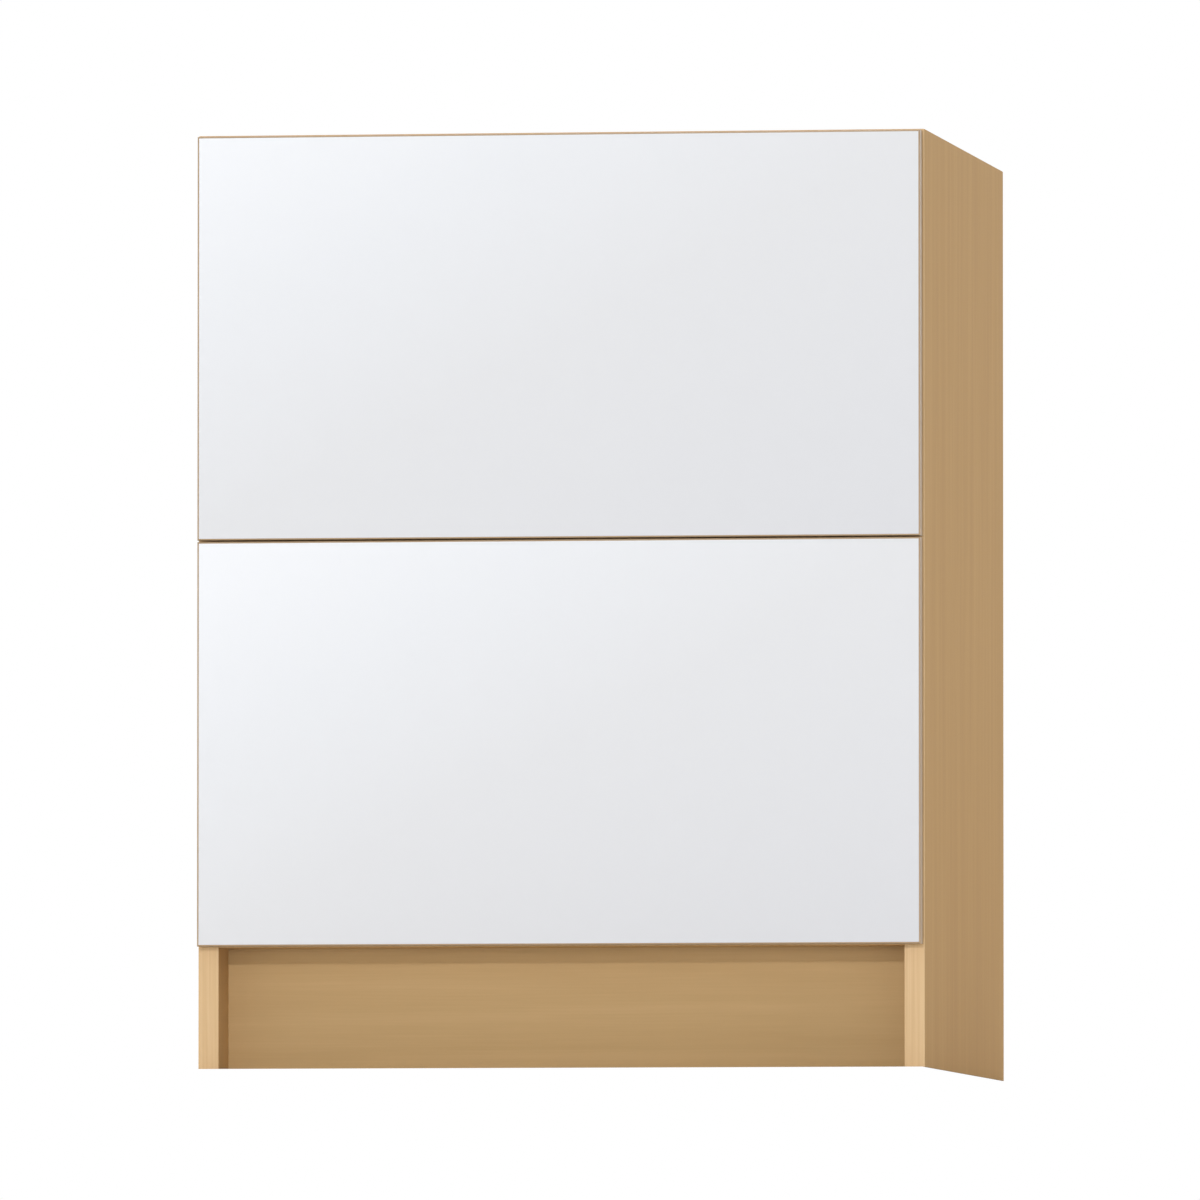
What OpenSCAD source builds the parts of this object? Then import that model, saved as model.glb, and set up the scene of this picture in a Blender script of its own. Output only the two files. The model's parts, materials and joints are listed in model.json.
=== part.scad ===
// Kitchen base cabinet with two deep drawers behind plain handleless fronts.
// Millimetres, +Z up, fronts towards -Y, origin on the floor under the middle of the cabinet.
// Right-hand pieces (+X) are drawn once and mirrored for the left. Drawer 0 is the lower one, 1 the upper.

/* [Cabinet] */
// Width over the two side panels
cabinet_w = 686; // [560:1:914]
// Height from the floor to the top of the side panels
cabinet_h = 876; // [800:1:940]
// Depth from the closed fronts to the back of the side panels
cabinet_d = 610; // [560:1:660]
// Thickness of the carcass boards
panel_t = 19; // [16:0.5:22]
// Thickness of the back panel
back_t = 6; // [4:0.5:8]
// Height of the toe space under the drawers
toe_h = 114; // [100:1:150]
// Depth of the toe space, from the faces of the fronts
toe_recess = 76; // [50:1:90]
// Width of the top, middle and back rails
rail_w = 96; // [90:1:120]
// Thickness of the edge banding on the front edges
band_t = 1; // [0.5:0.1:2]
// Depth of the grooves that hold the back panel
groove_d = 8; // [6:0.5:10]

/* [Fronts] */
// Thickness of a drawer front
front_t = 16; // [16:0.5:22]
// Thickness of the edge banding round a front
front_band_t = 1.5; // [0.8:0.1:2]
// Margin between a front and the outline of the cabinet, at each side
side_reveal = 1.5; // [1:0.5:5]
// Margin above the upper front
top_reveal = 2; // [1:0.5:5]
// Margin from the top of the toe space up to the lower front
bottom_reveal = 0.5; // [0.5:0.5:5]
// Gap between the two fronts
front_gap = 1.5; // [1.5:0.5:6]
// Gap behind a closed front, which lets it be pressed in to open
press_gap = 2.5; // [2.5:0.5:5]
// Chamfer round the face of a front, on its banding
front_chamfer = 0.6; // [0.3:0.1:0.8]

/* [Drawer boxes] */
// Thickness of the drawer box boards
box_t = 16; // [13:0.5:18]
// Height of a box's lower edge above the lower edge of its front
box_lift = 34.5; // [26:0.5:45]
// Distance from the top of a front down to the top of its box
box_drop = 95; // [60:1:130]
// Free space behind a closed drawer box
box_rear_gap = 36; // [20:1:60]
// Thickness of a drawer bottom
bottom_t = 6; // [4:0.5:9]
// Height of the drawer bottom above the lower edge of its box
bottom_rise = 12; // [10:1:20]
// Depth of the grooves that hold a drawer bottom
bottom_groove = 8; // [5:0.5:9]
// Wood left in front of the dovetails
dovetail_lap = 6; // [4:0.5:8]
// Width of a dovetail at its wide end
tail_w = 25; // [18:1:30]
// Largest spacing from one dovetail to the next
tail_pitch = 50; // [40:1:70]

/* [Slides] */
// Side clearance that a slide fills
slide_w = 12.7; // [12.5:0.1:14]
// Height of a slide
slide_h = 45.6; // [42:0.2:50]
// Thickness of the slide's steel
sheet_t = 1.2; // [1:0.05:1.3]
// Diameter of the slide balls
ball_d = 3.6; // [3:0.1:4]
// Height of a slide's centre above the lower edge of the drawer box
slide_rise = 64; // [50:1:90]
// Distance from the front of the carcass back to the front of a slide
slide_setback = 3; // [2:0.5:5]

/* [Push latches] */
// Width of a latch housing
latch_w = 20; // [16:1:26]
// Height of a latch housing
latch_h = 18; // [15:1:22]
// Length of a latch housing
latch_len = 72; // [66:1:85]
// Diameter of a latch plunger's rod
plunger_d = 8; // [6:0.5:9]
// Thickness of the strike plate on the back of a front
strike_t = 1.5; // [1:0.1:1.8]

/* [Hidden] */
$fn = 48;

// Colours
melamine = "#B59568";
band_tan = "#DBBA8F";
front_band_tan = "#9E825F";
gloss_white = "#EEF0F4";
hardboard = "#C9A97C";
birch = "#E0C79C";
zinc = "#B9BDC1";
dark_steel = "#8C9094";
grey_plastic = "#9A9EA3";
dark_plastic = "#4A4D50";
toe_tan = "#B39366";

// Fits
fit = 0.05;              // clearance round dowels, screws, cams and in sockets
groove_fit = 0.2;        // clearance of a board in its groove
touch_gap = 0.3;         // gap between pieces that meet only as they move
end_gap = 0.5;           // free space past the end of a dowel, bolt or screw
race_gap = 0.3;          // gap between a ball and its race
over = 1;                // how far a cutting shape runs past the face it cuts

// Carcass
half_w = cabinet_w / 2;
inner_half = half_w - panel_t;
front_y = -cabinet_d / 2;
front_back_y = front_y + front_t;
carcass_y0 = front_back_y + press_gap;
board_y0 = carcass_y0 + band_t;
rear_y = cabinet_d / 2;
back_rail_y = rear_y - panel_t;
back_y = back_rail_y - back_t;
toe_y = front_y + toe_recess;

// Fronts and drawer boxes
front_w = cabinet_w - 2 * side_reveal;
front_h = (cabinet_h - toe_h - bottom_reveal - top_reveal - front_gap) / 2;
front_z = [toe_h + bottom_reveal, toe_h + bottom_reveal + front_h + front_gap];
middle_z = front_z[1] - front_gap / 2;
box_half = inner_half - slide_w;
box_inner = box_half - box_t;
box_y0 = front_back_y;
box_len = back_y - box_rear_gap - box_y0;
box_y1 = box_y0 + box_len;
box_h = front_h - box_lift - box_drop;
box_z = [front_z[0] + box_lift, front_z[1] + box_lift];

// Joints between boards: each spot is [y, z, turn about X]; turn 0 opens a cam pocket downwards, 90 backwards
cam_inset = 34;          // from the side panel's face to the middle of a cam
cam_r = 7.5;
cam_h = panel_t / 2 + 4.5;
cam_slot_r = 3.9;
bolt_depth = 10.5;       // of a cam bolt's thread in the side panel
bolt_r = 2.5;
collar_len = 24;
collar_r = 3.5;
neck_r = 2;
head_r = 3.2;
edge_bore_r = 4;
dowel_r = 4;
dowel_in_side = 12;
dowel_in_board = 23;
hole_step = 32;          // spacing of the joint holes across a rail
rail_z = cabinet_h - panel_t / 2;
base_z = toe_h + panel_t / 2;
toe_mid_y = toe_y + panel_t / 2;
back_mid_y = back_rail_y + panel_t / 2;
bottom_cams = [[board_y0 + 4 * hole_step, base_z, 0], [back_y - 2 * hole_step, base_z, 0]];
bottom_dowels = [[board_y0 + hole_step, base_z, 0], [0, base_z, 0], [back_y - hole_step, base_z, 0]];
front_cams = [[board_y0 + 2 * hole_step, rail_z, 0]];
front_dowels = [[board_y0 + hole_step, rail_z, 0]];
rear_cams = [[back_y - hole_step, rail_z, 0]];
rear_dowels = [[back_y - 2 * hole_step, rail_z, 0]];
middle_cams = [[board_y0 + 2 * hole_step, middle_z, 0]];
middle_dowels = [[board_y0 + hole_step, middle_z, 0]];
toe_cams = [[toe_mid_y, toe_h - hole_step, 90]];
toe_dowels = [[toe_mid_y, hole_step, 90]];
upper_back_cams = [[back_mid_y, cabinet_h - hole_step, 90]];
upper_back_dowels = [[back_mid_y, cabinet_h - 2 * hole_step, 90]];
lower_back_cams = [[back_mid_y, toe_h + 2 * hole_step, 90]];
lower_back_dowels = [[back_mid_y, toe_h + hole_step, 90]];
all_cams = concat(bottom_cams, front_cams, rear_cams, middle_cams, toe_cams,
                  upper_back_cams, lower_back_cams);
all_dowels = concat(bottom_dowels, front_dowels, rear_dowels, middle_dowels, toe_dowels,
                    upper_back_dowels, lower_back_dowels);

// Fixing holes to the worktop and the wall
worktop_hole_r = 2.5;
worktop_hole_inset = 84; // from the side panel's inner face
worktop_hole_x = inner_half - worktop_hole_inset;
wall_hole_r = 3;
wall_hole_inset = 124;
wall_hole_x = inner_half - wall_hole_inset;
wall_hole_z = cabinet_h - rail_w / 2;

// Dovetails
tail_count = floor(box_h / tail_pitch);
tail_step = box_h / tail_count;
tail_len = box_t - dovetail_lap;
tail_slope = 0.25;       // how much each flank widens per millimetre of its length
tail_root = tail_w - 2 * tail_slope * tail_len;

// Slides, with u measured from the side panel's face towards the drawer
slide_len = box_len;
slide_y0 = carcass_y0 + slide_setback;
slide_z = [box_z[0] + slide_rise, box_z[1] + slide_rise];
travel = slide_len;
intermediate_short = 20; // how much shorter the intermediate rail is than the slide
drawer_rail_short = 10;
intermediate_len = slide_len - intermediate_short;
drawer_rail_len = slide_len - drawer_rail_short;
race_r = ball_d / 2 + race_gap;
race_out = race_r + sheet_t;
cage_space = 2.5;        // between the cabinet rail's web and the intermediate rail's
race_step = 1.6;         // between the intermediate rail's inner race and the cabinet rail's lip
outer_ball_u = race_out;
outer_ball_z = slide_h / 2 - race_out;
intermediate_web_u = sheet_t + cage_space;
inner_ball_u = intermediate_web_u + race_out;
inner_ball_z = outer_ball_z - race_out - race_step;
drawer_web_u = slide_w - sheet_t;
flange_z = inner_ball_z - race_r * sin(60);
lip_angle = -10;         // where the curled edges of the rails end
cup_start = -92;
outer_cup_end = -45;
inner_cup_end = -50;
cage_t = 0.8;
cage_gap = 0.4;
cage_edge = 0.9;         // how far a cage reaches past its balls' centres
cage_end_gap = 4;        // from an opened slide's rail end to the cage in it
cage_len = slide_len / 2 - intermediate_short - 1.5 * cage_end_gap;
cage_y0 = slide_y0 + travel / 4 + cage_end_gap;
balls_per_row = 8;
ball_end = 8;            // from a cage's end to its first ball
rail_screw_y = [35, 227, slide_len - 50];       // from the front of the slide
drawer_screw_y = [35, 227, slide_len - 60];
access_r = 5;            // holes in the intermediate rail for reaching the screws

// Screws
csk_r = 3.4;             // countersunk head
csk_shank_r = 2;
rail_screw_len = 13;
pan_r = 4;               // pan head
pan_h = 2.2;
pan_shank_r = 1.9;
front_screw_rest = 8;    // wood left between a screw's point and the face of the front
front_screw_inset = 40;  // from the box's inner corners
front_screw_len = box_t + front_t - front_screw_rest;
front_screw_x = box_inner - front_screw_inset;
latch_screw_len = 15;
strike_screw_r = 1.3;
strike_head_r = 2.4;
strike_screw_len = 10;

// Push latches, each hung under the rail above its drawer
latch_top = [middle_z - panel_t / 2, cabinet_h - panel_t];
latch_setback = 2;
latch_y0 = carcass_y0 + latch_setback;
ear_w = 10;
ear_t = 3;
ear_y = [8, 30];
plunger_z = [latch_top[0] - latch_h / 2, latch_top[1] - latch_h / 2];
plunger_r = plunger_d / 2;
piston_r = plunger_r + 1;
nose_t = 4;              // wall that holds the piston in
tail_wall = 6;
plunger_tip_y = front_back_y + strike_t + touch_gap;
tip_r = 6;
tip_chamfer = 0.8;
tip_len = latch_y0 - touch_gap - plunger_tip_y;
rod_len = 44;
piston_len = 3;
piston_end_y = plunger_tip_y + tip_len + rod_len;
spring_y0 = piston_end_y + touch_gap;
spring_y1 = latch_y0 + latch_len - tail_wall - touch_gap;
spring_wire_r = 0.5;
spring_r = piston_r + touch_gap - spring_wire_r - 2 * touch_gap;
spring_turns = 8;
strike_w = 30;
strike_h = 13;
strike_screw_x = 11;

// Helpers

module block(low, high) {
    translate(low) cube(high - low);
}

module both_sides() {
    children();
    mirror([1, 0, 0]) children();
}

// Children drawn at each spot on the right-hand side panel's inner face, with +X running into that panel
module at_right(spots) {
    for (spot = spots)
        translate([inner_half, spot[0], spot[1]]) rotate([spot[2], 0, 0]) children();
}

module at_joints(spots) {
    both_sides() at_right(spots) children();
}

// Turns a shape drawn along +Z to run from the side panel into the board, along -X
module into_board() {
    rotate([0, -90, 0]) children();
}

module dowel_bore() {
    into_board() translate([0, 0, -dowel_in_side - end_gap])
        cylinder(r = dowel_r, h = dowel_in_side + dowel_in_board + 2 * end_gap);
}

module bolt_bore() {
    into_board() translate([0, 0, -bolt_depth - end_gap])
        cylinder(r = bolt_r, h = bolt_depth + end_gap + over);
}

module cam_bore() {
    into_board() translate([0, 0, -over]) cylinder(r = edge_bore_r, h = cam_inset + over);
    translate([-cam_inset, 0, -panel_t / 2 - over]) cylinder(r = cam_r, h = cam_h + fit + over);
}

module board_joints(cams, dowels) {
    at_joints(cams) cam_bore();
    at_joints(dowels) dowel_bore();
}

// A cross recess cut into a screw head or cam whose face is at z = 0
module cross_recess(span, deep) {
    for (turn = [0, 90]) rotate([0, 0, turn]) translate([0, 0, -deep]) linear_extrude(deep + over)
        square([span, span / 4], center = true);
}

// Countersunk screw with its head flush at z = 0 and its point down
module csk_shape(len, grow) {
    rotate_extrude() polygon([
        [0, 0], [csk_r + grow, 0], [csk_shank_r + grow, -sheet_t],
        [csk_shank_r + grow, 2 - len - grow], [0, -len - grow]
    ]);
}

module csk_screw(len) {
    difference() {
        csk_shape(len, 0);
        cross_recess(3.6, 0.8);
    }
}

// Pan-head screw with the underside of its head at z = 0 and its point down
module pan_screw(len) {
    difference() {
        rotate_extrude() polygon([
            [0, pan_h], [pan_r - 0.9, pan_h], [pan_r, pan_h - 0.9], [pan_r, 0], [pan_shank_r, 0],
            [pan_shank_r, 2.5 - len], [0, -len]
        ]);
        translate([0, 0, pan_h]) cross_recess(4, 1.2);
    }
}

// Carcass boards

module side_panel() {
    color(melamine) difference() {
        block([inner_half, board_y0, 0], [half_w, rear_y, cabinet_h]);
        block([inner_half - over, back_y - groove_fit, toe_h],
              [inner_half + groove_d, back_y + back_t + groove_fit, cabinet_h + over]);
        at_right(all_cams) bolt_bore();
        at_right(all_dowels) dowel_bore();
        for (drawer = [0, 1]) rail_screw_bores(slide_z[drawer]);
    }
}

module side_edge_band() {
    color(band_tan) block([inner_half, carcass_y0, 0], [half_w, board_y0, cabinet_h]);
}

module bottom_panel() {
    color(melamine) difference() {
        block([-inner_half, board_y0, toe_h], [inner_half, back_y, toe_h + panel_t]);
        board_joints(bottom_cams, bottom_dowels);
    }
}

// A rail lying flat between the side panels, with its top face at z_top
module flat_rail(y0, z_top, cams, dowels) {
    difference() {
        block([-inner_half, y0, z_top - panel_t], [inner_half, y0 + rail_w, z_top]);
        board_joints(cams, dowels);
    }
}

module worktop_holes(y0) {
    for (x = [-worktop_hole_x, worktop_hole_x]) translate([x, y0 + rail_w / 2, cabinet_h - panel_t - over])
        cylinder(r = worktop_hole_r, h = panel_t + 2 * over);
}

module top_rail_front() {
    color(melamine) difference() {
        flat_rail(board_y0, cabinet_h, front_cams, front_dowels);
        worktop_holes(board_y0);
        latch_screw_bores(1);
    }
}

module top_rail_rear() {
    color(melamine) difference() {
        flat_rail(back_y - rail_w, cabinet_h, rear_cams, rear_dowels);
        worktop_holes(back_y - rail_w);
    }
}

module middle_rail() {
    color(melamine) difference() {
        flat_rail(board_y0, middle_z + panel_t / 2, middle_cams, middle_dowels);
        latch_screw_bores(0);
    }
}

module rail_edge_bands() {
    color(band_tan) for (z = [toe_h, middle_z - panel_t / 2, cabinet_h - panel_t])
        block([-inner_half, carcass_y0, z], [inner_half, board_y0, z + panel_t]);
}

module wall_holes() {
    for (x = [-wall_hole_x, wall_hole_x])
        translate([x, back_y - over, wall_hole_z]) rotate([-90, 0, 0])
            cylinder(r = wall_hole_r, h = back_t + panel_t + 2 * over);
}

module back_panel() {
    width = inner_half + groove_d - 2 * groove_fit;
    color(hardboard) difference() {
        block([-width, back_y, toe_h], [width, back_rail_y, cabinet_h]);
        wall_holes();
    }
}

module back_rail(z0, cams, dowels) {
    difference() {
        block([-inner_half, back_rail_y, z0], [inner_half, rear_y, z0 + rail_w]);
        board_joints(cams, dowels);
    }
}

module back_rail_upper() {
    color(melamine) difference() {
        back_rail(cabinet_h - rail_w, upper_back_cams, upper_back_dowels);
        wall_holes();
    }
}

module back_rail_lower() {
    color(melamine) back_rail(toe_h, lower_back_cams, lower_back_dowels);
}

module toe_kick_board() {
    color(toe_tan) difference() {
        block([-inner_half, toe_y, 0], [inner_half, toe_y + panel_t, toe_h]);
        board_joints(toe_cams, toe_dowels);
    }
}

// Carcass fittings

module dowel() {
    r = dowel_r - fit;
    into_board() rotate_extrude() polygon([
        [0, -dowel_in_side], [r - 1, -dowel_in_side], [r, 1 - dowel_in_side],
        [r, dowel_in_board - 1], [r - 1, dowel_in_board], [0, dowel_in_board]
    ]);
}

module dowels() {
    color(birch) at_joints(all_dowels) dowel();
}

module cam_bolt() {
    into_board() rotate_extrude() polygon([
        [0, -bolt_depth], [bolt_r - fit, -bolt_depth], [bolt_r - fit, 0], [collar_r, 0],
        [collar_r, collar_len], [neck_r, collar_len], [neck_r, cam_inset - 4],
        [head_r, cam_inset - 4], [head_r, cam_inset - 1], [0, cam_inset - 1]
    ]);
}

module cam_bolts() {
    color(zinc) at_joints(all_cams) cam_bolt();
}

module cam_lock() {
    difference() {
        translate([-cam_inset, 0, -panel_t / 2]) cylinder(r = cam_r - fit, h = cam_h);
        into_board() cylinder(r = cam_slot_r, h = cam_inset + 1.5);
        translate([-cam_inset, 0, -panel_t / 2]) rotate([180, 0, 0]) cross_recess(9, 2);
    }
}

module cam_locks() {
    color(dark_steel) at_joints(all_cams) cam_lock();
}

// Slides, drawn for the right-hand side

// A wedge between two directions, with its point at the centre
module sector(radius, from, to) {
    steps = ceil((to - from) / 45);
    rim = [for (i = [0:steps]) let (a = from + (to - from) * i / steps) radius * [cos(a), sin(a)]];
    polygon(concat([[0, 0]], rim));
}

// Part of a ring of sheet steel round the middle of a ball
module race(u, z, from, to) {
    translate([u, z]) intersection() {
        difference() {
            circle(r = race_out);
            circle(r = race_r);
        }
        sector(2 * race_out, from, to);
    }
}

module both_rows() {
    children();
    mirror([0, 1]) children();
}

module cabinet_rail_profile() {
    translate([0, -outer_ball_z]) square([sheet_t, 2 * outer_ball_z]);
    both_rows() race(outer_ball_u, outer_ball_z, lip_angle, 180);
}

module intermediate_rail_profile() {
    translate([intermediate_web_u, -inner_ball_z]) square([sheet_t, 2 * inner_ball_z]);
    both_rows() {
        race(inner_ball_u, inner_ball_z, lip_angle, 180);
        race(outer_ball_u, outer_ball_z, cup_start, outer_cup_end);
    }
}

module drawer_rail_profile() {
    translate([drawer_web_u, -flange_z]) square([sheet_t, 2 * flange_z]);
    both_rows() {
        race(inner_ball_u, inner_ball_z, cup_start, inner_cup_end);
        translate([inner_ball_u + race_r * cos(60), flange_z - sheet_t])
            square([slide_w - inner_ball_u - race_r * cos(60), sheet_t]);
    }
}

// Runs a (u, z) profile along Y from y0
module along_slide(y0, len, z) {
    translate([inner_half, y0 + len, z]) mirror([1, 0, 0]) rotate([90, 0, 0]) linear_extrude(len) children();
}

// Children drawn at a place on the slide, with +Z running across it towards the drawer
module across_slide(u, y, z) {
    translate([inner_half - u, y, z]) rotate([0, -90, 0]) children();
}

module rail_screw_bores(z) {
    for (y = rail_screw_y) across_slide(sheet_t, slide_y0 + y, z) {
        csk_shape(rail_screw_len, fit);
        cylinder(r = csk_r + fit, h = over);
    }
}

module cabinet_rail(drawer) {
    color(zinc) difference() {
        along_slide(slide_y0, slide_len, slide_z[drawer]) cabinet_rail_profile();
        rail_screw_bores(slide_z[drawer]);
    }
}

module cabinet_rail_screws() {
    color(dark_steel) both_sides() for (drawer = [0, 1], y = rail_screw_y)
        across_slide(sheet_t, slide_y0 + y, slide_z[drawer]) csk_screw(rail_screw_len);
}

module intermediate_rail(drawer) {
    color(zinc) difference() {
        along_slide(slide_y0, intermediate_len, slide_z[drawer]) intermediate_rail_profile();
        for (y = rail_screw_y) across_slide(intermediate_web_u - over, slide_y0 + y, slide_z[drawer])
            cylinder(r = access_r, h = sheet_t + 2 * over);
    }
}

module drawer_screw_bores(drawer) {
    for (y = drawer_screw_y) across_slide(drawer_web_u, slide_y0 + y, slide_z[drawer]) rotate([180, 0, 0]) {
        csk_shape(box_t - 3, fit);
        cylinder(r = csk_r + fit, h = over);
    }
}

module drawer_rail(drawer) {
    color(zinc) difference() {
        along_slide(slide_y0, drawer_rail_len, slide_z[drawer]) drawer_rail_profile();
        drawer_screw_bores(drawer);
    }
}

module drawer_rail_screws(drawer) {
    color(dark_steel) both_sides() for (y = drawer_screw_y)
        across_slide(drawer_web_u, slide_y0 + y, slide_z[drawer]) rotate([180, 0, 0]) csk_screw(box_t - 3);
}

// Children drawn at each ball of one slide's cage
module at_balls(drawer, u, ball_z) {
    step = (cage_len - 2 * ball_end) / (balls_per_row - 1);
    for (i = [0:balls_per_row - 1], side = [-1, 1])
        across_slide(u, cage_y0 + ball_end + i * step, slide_z[drawer] + side * ball_z) children();
}

// A pair of cages with their balls: a notched steel strip with a row of balls along each edge
module ball_cages(drawer, cage_u, ball_u, ball_z) {
    edge = ball_z + cage_edge;
    x = inner_half - cage_u;
    z = slide_z[drawer];
    color(dark_steel) both_sides() {
        difference() {
            block([x - cage_t, cage_y0, z - edge], [x, cage_y0 + cage_len, z + edge]);
            at_balls(drawer, cage_u - over, ball_z) cylinder(r = ball_d / 2, h = cage_t + 2 * over);
        }
        at_balls(drawer, ball_u, ball_z) sphere(r = ball_d / 2);
    }
}

module outer_ball_cages(drawer) {
    ball_cages(drawer, sheet_t + cage_gap, outer_ball_u, outer_ball_z);
}

module inner_ball_cages(drawer) {
    ball_cages(drawer, intermediate_web_u + sheet_t + cage_gap, inner_ball_u, inner_ball_z);
}

// Push latches

module latch_screw_spots(drawer) {
    y = latch_y0 + (ear_y[0] + ear_y[1]) / 2;
    for (side = [-1, 1]) translate([side * (latch_w + ear_w) / 2, y, latch_top[drawer] - ear_t])
        rotate([180, 0, 0]) children();
}

module latch_screw_bores(drawer) {
    latch_screw_spots(drawer) translate([0, 0, -latch_screw_len - end_gap])
        cylinder(r = pan_shank_r + fit, h = latch_screw_len + end_gap + over);
}

// A hole along Y from y0 to y1 on the plunger's axis
module plunger_bore(drawer, r, y0, y1) {
    translate([0, y0, plunger_z[drawer]]) rotate([-90, 0, 0]) cylinder(r = r, h = y1 - y0);
}

module latch_housing(drawer) {
    x = latch_w / 2;
    top = latch_top[drawer];
    color(grey_plastic) difference() {
        union() {
            block([-x, latch_y0, top - latch_h], [x, latch_y0 + latch_len, top]);
            block([-x - ear_w, latch_y0 + ear_y[0], top - ear_t], [x + ear_w, latch_y0 + ear_y[1], top]);
        }
        plunger_bore(drawer, plunger_r + touch_gap, latch_y0 - over, latch_y0 + nose_t + over);
        plunger_bore(drawer, piston_r + touch_gap, latch_y0 + nose_t, latch_y0 + latch_len - tail_wall);
        latch_screw_bores(drawer);
    }
}

module latch_screws() {
    color(dark_steel) for (drawer = [0, 1]) latch_screw_spots(drawer) pan_screw(latch_screw_len);
}

module latch_plunger(drawer) {
    end = tip_len + rod_len;
    profile = [
        [0, 0], [tip_r - tip_chamfer, 0], [tip_r, tip_chamfer], [tip_r, tip_len], [plunger_r, tip_len],
        [plunger_r, end - piston_len], [piston_r, end - piston_len], [piston_r, end], [0, end]
    ];
    color(dark_plastic) translate([0, plunger_tip_y, plunger_z[drawer]]) rotate([-90, 0, 0])
        rotate_extrude() polygon(profile);
}

// A round wire wound into a helix along +Z, as one closed tube
module helix(radius, wire_r, length, turns) {
    steps = 12;
    sides = 6;
    count = turns * steps;
    rise = length - 2 * wire_r;
    points = [for (i = [0:count], k = [0:sides - 1])
        let (a = 360 * i / steps, b = 360 * k / sides, r = radius + wire_r * cos(b))
        [r * cos(a), r * sin(a), wire_r + rise * i / count + wire_r * sin(b)]];
    walls = [for (i = [0:count - 1], k = [0:sides - 1])
        let (p = i * sides + k, q = i * sides + (k + 1) % sides)
        each [[p, q, p + sides], [q, q + sides, p + sides]]];
    last = count * sides;
    start = [for (k = [1:sides - 2]) [0, k + 1, k]];
    finish = [for (k = [1:sides - 2]) [last, last + k, last + k + 1]];
    polyhedron(points = points, faces = concat(walls, start, finish));
}

module latch_spring(drawer) {
    color(zinc) translate([0, spring_y0, plunger_z[drawer]]) rotate([-90, 0, 0])
        helix(spring_r, spring_wire_r, spring_y1 - spring_y0, spring_turns);
}

// Drawers

// The cross-section of a front, span wide, with its two face corners chamfered and its face at y = 0
function slab_profile(span) = [
    [-span / 2 + front_chamfer, 0], [span / 2 - front_chamfer, 0], [span / 2, front_chamfer],
    [span / 2, front_t], [-span / 2, front_t], [-span / 2, front_chamfer]
];

// The board and the banding of a front together
module front_slab(drawer) {
    translate([0, front_y, front_z[drawer] + front_h / 2]) intersection() {
        linear_extrude(front_h, center = true) polygon(slab_profile(front_w));
        rotate([0, 90, 0]) linear_extrude(front_w, center = true) polygon(slab_profile(front_h));
    }
}

// What a front slab has between two corners, given as [x, z]
module slab_part(drawer, low, high) {
    intersection() {
        front_slab(drawer);
        block([low[0], front_y - over, low[1]], [high[0], front_back_y + over, high[1]]);
    }
}

// Children drawn at the screws that hold a front on, with the point towards -Y
module front_screw_spots(drawer) {
    for (x = [-front_screw_x, front_screw_x], z = [front_screw_inset, box_h - front_screw_inset])
        translate([x, box_y0 + box_t, box_z[drawer] + z]) rotate([-90, 0, 0]) children();
}

module front_screw_bores(drawer) {
    front_screw_spots(drawer) translate([0, 0, -front_screw_len - end_gap])
        cylinder(r = pan_shank_r + fit, h = front_screw_len + end_gap + over);
}

module front_screws(drawer) {
    color(dark_steel) front_screw_spots(drawer) pan_screw(front_screw_len);
}

module strike_screw_spots(drawer) {
    for (x = [-strike_screw_x, strike_screw_x])
        translate([x, front_back_y + strike_t, plunger_z[drawer]]) rotate([-90, 0, 0]) children();
}

module strike_screw_shape(grow) {
    rotate_extrude() polygon([
        [0, 0], [strike_head_r + grow, 0], [strike_screw_r + grow, -1.1],
        [strike_screw_r + grow, 2 - strike_screw_len - grow], [0, -strike_screw_len - grow]
    ]);
}

module drawer_front(drawer) {
    x = front_w / 2 - front_band_t;
    color(gloss_white) difference() {
        slab_part(drawer, [-x, front_z[drawer] + front_band_t],
                  [x, front_z[drawer] + front_h - front_band_t]);
        front_screw_bores(drawer);
        strike_screw_spots(drawer) strike_screw_shape(fit);
    }
}

// Four strips round a front: one along each side, and one between them above and below
module front_edge_bands(drawer) {
    x = front_w / 2 - front_band_t;
    z0 = front_z[drawer];
    z1 = z0 + front_h;
    color(front_band_tan) {
        slab_part(drawer, [-front_w / 2 - over, z0 - over], [-x, z1 + over]);
        slab_part(drawer, [x, z0 - over], [front_w / 2 + over, z1 + over]);
        slab_part(drawer, [-x + fit, z0 - over], [x - fit, z0 + front_band_t]);
        slab_part(drawer, [-x + fit, z1 - front_band_t], [x - fit, z1 + over]);
    }
}

module strike_plate(drawer) {
    x = strike_w / 2;
    z0 = plunger_z[drawer] - strike_h / 2;
    color(zinc) {
        difference() {
            block([-x, front_back_y, z0], [x, front_back_y + strike_t, z0 + strike_h]);
            strike_screw_spots(drawer) {
                strike_screw_shape(fit);
                cylinder(r = strike_head_r + fit, h = over);
            }
        }
        strike_screw_spots(drawer) difference() {
            strike_screw_shape(0);
            cross_recess(2.8, 0.7);
        }
    }
}

// Dovetails of the right-hand box side, set on its shoulder at y and pointing to -Y, or to +Y where side is 1
module tails(drawer, y, side, grow) {
    for (i = [0:tail_count - 1]) {
        z = box_z[drawer] + (i + 0.5) * tail_step;
        root = tail_root / 2 + grow;
        tip = tail_w / 2 + grow;
        reach = side * (tail_len + grow);
        translate([box_inner - grow, y, z]) rotate([90, 0, 90]) linear_extrude(box_t + 2 * grow)
            polygon([[-side, -root], [0, -root], [reach, -tip], [reach, tip], [0, root], [-side, root]]);
    }
}

// The cut for a drawer bottom between two corners, given as [x, y]
module bottom_groove_cut(drawer, low, high) {
    z = box_z[drawer] + bottom_rise;
    block([low[0], low[1], z - groove_fit], [high[0], high[1], z + bottom_t + groove_fit]);
}

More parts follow.
